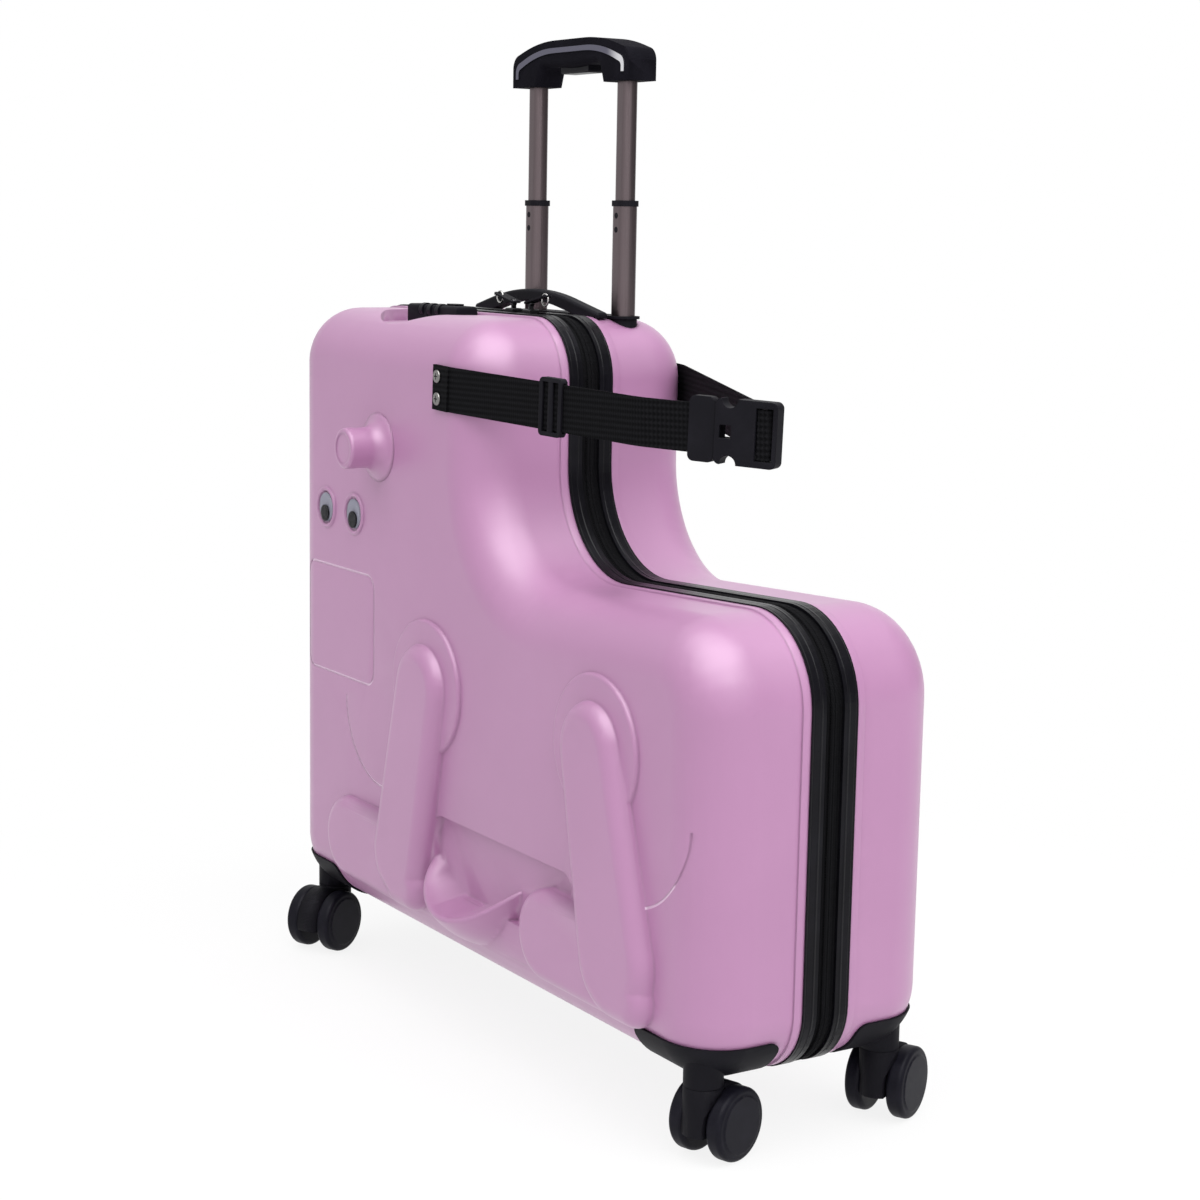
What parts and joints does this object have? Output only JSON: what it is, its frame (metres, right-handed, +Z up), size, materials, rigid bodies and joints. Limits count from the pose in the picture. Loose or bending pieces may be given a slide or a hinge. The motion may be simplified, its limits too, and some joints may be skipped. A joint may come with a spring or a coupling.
{
  "type": "ride-on suitcase",
  "caption": "Hard-shell ride-on suitcase with a stepped seat, hand pegs, googly eyes, telescopic pull handle, carry handle, combination lock, safety strap and swivel casters",
  "frame": {"origin": "on the floor under the middle of the case, in the zip plane", "axes": "+X along the case toward the seat end, +Y across it toward the half with the pull-out handle, +Z up"},
  "size_m": [0.7044, 0.296, 0.86],
  "materials": {
    "case_shell": "satin moulded shell, pale lilac pink",
    "hand_peg": "satin moulded, same pink as the shell",
    "binding": "woven edge piping, near black",
    "zip_tape": "woven zip tape with moulded coil, near black",
    "hinge_cloth": "woven cloth hinge",
    "eye_white": "white card",
    "eye_dome": "clear moulded dome",
    "pupil": "black disc",
    "webbing": "ribbed woven webbing, near black",
    "rivet": "bright domed heads",
    "caster_bracket": "fine grain",
    "caster_fork": "fine grain",
    "wheel": "satin black tread",
    "lining": "thin woven lining",
    "lock_case": "fine grain",
    "lock_dial": "ribbed dials",
    "lock_release": "ribbed slide",
    "zip_slider": "dark plated",
    "zip_pull": "moulded pull",
    "tube_fixed": "plain drawn",
    "tube": "champagne grey anodised",
    "trolley_plastic": "fine grain",
    "grip": "fine grain",
    "grip_button": "smooth",
    "grip_trim": "bright strip",
    "carry_handle": "fine grain",
    "adjuster": "moulded",
    "buckle": "moulded"
  },
  "bodies": {
    "far_case": {"far_shell": "case_shell", "far_binding": "binding", "far_zip_tape": "zip_tape", "far_hinge_leaf": "hinge_cloth", "far_caster_brackets": "caster_bracket", "far_hand_peg": "hand_peg", "far_eye_whites": "eye_white", "far_eye_domes": "eye_dome", "far_strap": "webbing", "far_rivets": "rivet", "trolley_bezel": "trolley_plastic", "trolley_outer_tubes": "tube_fixed", "carry_handle": "carry_handle", "buckle_socket": "buckle"},
    "near_case": {"near_shell": "case_shell", "near_binding": "binding", "near_zip_tape": "zip_tape", "near_hinge_leaf": "hinge_cloth", "near_caster_brackets": "caster_bracket", "near_hand_peg": "hand_peg", "near_eye_whites": "eye_white", "near_eye_domes": "eye_dome", "near_strap": "webbing", "near_rivets": "rivet", "near_divider": "lining", "lock_body": "lock_case"},
    "buckle_plug": {"buckle_plug": "buckle"},
    "strap_adjuster": {"strap_adjuster": "adjuster"},
    "lock_dial_a": {"lock_dial_a": "lock_dial"},
    "lock_dial_b": {"lock_dial_b": "lock_dial"},
    "lock_dial_c": {"lock_dial_c": "lock_dial"},
    "lock_release": {"lock_release": "lock_release"},
    "zip_slider_front": {"zip_slider_front": "zip_slider"},
    "zip_slider_rear": {"zip_slider_rear": "zip_slider"},
    "zip_pull_front": {"zip_pull_front": "zip_pull"},
    "zip_pull_rear": {"zip_pull_rear": "zip_pull"},
    "trolley_mid": {"trolley_mid_tubes": "tube", "trolley_collars": "trolley_plastic"},
    "trolley_top": {"trolley_top_tubes": "tube", "grip_body": "grip", "grip_trim": "grip_trim"},
    "grip_button": {"grip_button": "grip_button"},
    "near_pupil_front": {"near_pupil_front": "pupil"},
    "near_pupil_rear": {"near_pupil_rear": "pupil"},
    "near_caster_front": {"near_caster_fork_front": "caster_fork"},
    "near_wheel_front_a": {"near_wheel_front_a": "wheel"},
    "near_wheel_front_b": {"near_wheel_front_b": "wheel"},
    "near_caster_rear": {"near_caster_fork_rear": "caster_fork"},
    "near_wheel_rear_a": {"near_wheel_rear_a": "wheel"},
    "near_wheel_rear_b": {"near_wheel_rear_b": "wheel"},
    "far_pupil_front": {"far_pupil_front": "pupil"},
    "far_pupil_rear": {"far_pupil_rear": "pupil"},
    "far_caster_front": {"far_caster_fork_front": "caster_fork"},
    "far_wheel_front_a": {"far_wheel_front_a": "wheel"},
    "far_wheel_front_b": {"far_wheel_front_b": "wheel"},
    "far_caster_rear": {"far_caster_fork_rear": "caster_fork"},
    "far_wheel_rear_a": {"far_wheel_rear_a": "wheel"},
    "far_wheel_rear_b": {"far_wheel_rear_b": "wheel"}
  },
  "joints": [
    {"name": "lid_hinge", "type": "hinge", "parent": "far_case", "child": "near_case", "pos_m": [-0.3527, 0, 0.34], "axis": [0, 0, -1], "range_deg": [0, 150]},
    {"name": "buckle_release", "type": "slide", "parent": "near_case", "child": "buckle_plug", "axis": [0.8822, 0.4695, -0.037], "range_m": [-0.026, 0]},
    {"name": "adjuster_slide", "type": "slide", "parent": "near_case", "child": "strap_adjuster", "axis": [0.9844, 0.1712, -0.0413], "range_m": [-0.04, 0.04]},
    {"name": "dial_a_turn", "type": "hinge", "parent": "near_case", "child": "lock_dial_a", "pos_m": [-0.206, -0.0464, 0.6201], "axis": [1, 0, 0], "continuous": true},
    {"name": "dial_b_turn", "type": "hinge", "parent": "near_case", "child": "lock_dial_b", "pos_m": [-0.191, -0.0464, 0.6201], "axis": [1, 0, 0], "continuous": true},
    {"name": "dial_c_turn", "type": "hinge", "parent": "near_case", "child": "lock_dial_c", "pos_m": [-0.176, -0.0464, 0.6201], "axis": [1, 0, 0], "continuous": true},
    {"name": "lock_release_slide", "type": "slide", "parent": "near_case", "child": "lock_release", "axis": [1, 0, 0], "range_m": [0, 0.0025], "stiffness_N_per_m": 200, "springref_m": -0.001},
    {"name": "zip_front_slide", "type": "slide", "parent": "far_case", "child": "zip_slider_front", "axis": [1, 0, 0], "range_m": [-0.15, 0]},
    {"name": "zip_rear_slide", "type": "slide", "parent": "far_case", "child": "zip_slider_rear", "axis": [1, 0, 0], "range_m": [0, 0.04]},
    {"name": "zip_pull_front_lift", "type": "hinge", "parent": "zip_slider_front", "child": "zip_pull_front", "pos_m": [-0.128, 0, 0.6293], "axis": [0, 1, 0], "range_deg": [0, 45]},
    {"name": "zip_pull_rear_lift", "type": "hinge", "parent": "zip_slider_rear", "child": "zip_pull_rear", "pos_m": [-0.098, 0, 0.6293], "axis": [0, -1, 0], "range_deg": [0, 45]},
    {"name": "trolley_lower_slide", "type": "slide", "parent": "far_case", "child": "trolley_mid", "axis": [0, 0, 1], "range_m": [-0.0935, 0]},
    {"name": "trolley_upper_slide", "type": "slide", "parent": "trolley_mid", "child": "trolley_top", "axis": [0, 0, 1], "range_m": [-0.1005, 0]},
    {"name": "grip_button_press", "type": "slide", "parent": "trolley_top", "child": "grip_button", "axis": [0, 0, 1], "range_m": [0, 0.004], "stiffness_N_per_m": 300, "springref_m": -0.002},
    {"name": "near_pupil_front_swing", "type": "hinge", "parent": "near_case", "child": "near_pupil_front", "pos_m": [-0.2745, -0.1149, 0.435], "axis": [0, 1, 0], "continuous": true},
    {"name": "near_pupil_rear_swing", "type": "hinge", "parent": "near_case", "child": "near_pupil_rear", "pos_m": [-0.2175, -0.1149, 0.435], "axis": [0, 1, 0], "continuous": true},
    {"name": "near_caster_front_swivel", "type": "hinge", "parent": "near_case", "child": "near_caster_front", "pos_m": [-0.314, -0.085, 0.06], "axis": [0, 0, 1], "continuous": true},
    {"name": "near_wheel_front_a_roll", "type": "hinge", "parent": "near_caster_front", "child": "near_wheel_front_a", "pos_m": [-0.29051, -0.09211, 0.029], "axis": [-0.891, -0.454, 0], "continuous": true},
    {"name": "near_wheel_front_b_roll", "type": "hinge", "parent": "near_caster_front", "child": "near_wheel_front_b", "pos_m": [-0.32205, -0.10818, 0.029], "axis": [-0.891, -0.454, 0], "continuous": true},
    {"name": "near_caster_rear_swivel", "type": "hinge", "parent": "near_case", "child": "near_caster_rear", "pos_m": [0.314, -0.085, 0.06], "axis": [0, 0, 1], "continuous": true},
    {"name": "near_wheel_rear_a_roll", "type": "hinge", "parent": "near_caster_rear", "child": "near_wheel_rear_a", "pos_m": [0.29191, -0.0743, 0.029], "axis": [0.9511, 0.309, 0], "continuous": true},
    {"name": "near_wheel_rear_b_roll", "type": "hinge", "parent": "near_caster_rear", "child": "near_wheel_rear_b", "pos_m": [0.32558, -0.06336, 0.029], "axis": [0.9511, 0.309, 0], "continuous": true},
    {"name": "far_pupil_front_swing", "type": "hinge", "parent": "far_case", "child": "far_pupil_front", "pos_m": [-0.2745, 0.1149, 0.435], "axis": [0, 1, 0], "continuous": true},
    {"name": "far_pupil_rear_swing", "type": "hinge", "parent": "far_case", "child": "far_pupil_rear", "pos_m": [-0.2175, 0.1149, 0.435], "axis": [0, 1, 0], "continuous": true},
    {"name": "far_caster_front_swivel", "type": "hinge", "parent": "far_case", "child": "far_caster_front", "pos_m": [-0.314, 0.085, 0.06], "axis": [0, 0, 1], "continuous": true},
    {"name": "far_wheel_front_a_roll", "type": "hinge", "parent": "far_caster_front", "child": "far_wheel_front_a", "pos_m": [-0.29155, 0.07508, 0.029], "axis": [-0.9397, -0.342, 0], "continuous": true},
    {"name": "far_wheel_front_b_roll", "type": "hinge", "parent": "far_caster_front", "child": "far_wheel_front_b", "pos_m": [-0.32482, 0.06297, 0.029], "axis": [-0.9397, -0.342, 0], "continuous": true},
    {"name": "far_caster_rear_swivel", "type": "hinge", "parent": "far_case", "child": "far_caster_rear", "pos_m": [0.314, 0.085, 0.06], "axis": [0, 0, 1], "continuous": true},
    {"name": "far_wheel_rear_a_roll", "type": "hinge", "parent": "far_caster_rear", "child": "far_wheel_rear_a", "pos_m": [0.29051, 0.09211, 0.029], "axis": [0.891, 0.454, 0], "continuous": true},
    {"name": "far_wheel_rear_b_roll", "type": "hinge", "parent": "far_caster_rear", "child": "far_wheel_rear_b", "pos_m": [0.32205, 0.10818, 0.029], "axis": [0.891, 0.454, 0], "continuous": true}
  ]
}
